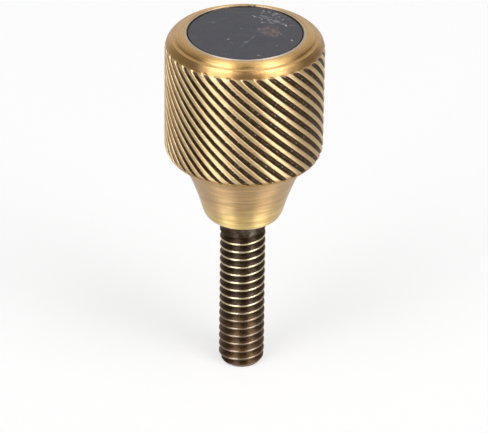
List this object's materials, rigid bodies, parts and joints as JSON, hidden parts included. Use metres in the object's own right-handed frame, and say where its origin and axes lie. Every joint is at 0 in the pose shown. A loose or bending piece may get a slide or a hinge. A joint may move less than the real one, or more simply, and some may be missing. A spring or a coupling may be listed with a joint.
{
  "type": "saxophone neck screw",
  "caption": "Brass saxophone neck screw: knurled knob with a dark stone disc set flush in its top, a flared neck and a fine threaded shank.",
  "frame": {"origin": "centre of the flat face at the tip of the shank, on the surface that the screw stands on", "axes": "+Z along the screw's axis from the tip to the knob, -Y towards the viewer in the picture"},
  "size_m": [0.014, 0.014, 0.0331],
  "materials": {
    "brass": "satin",
    "stone": "satin"
  },
  "bodies": {
    "root": {"screw_body": "brass", "stone_inlay": "stone"}
  },
  "joints": []
}
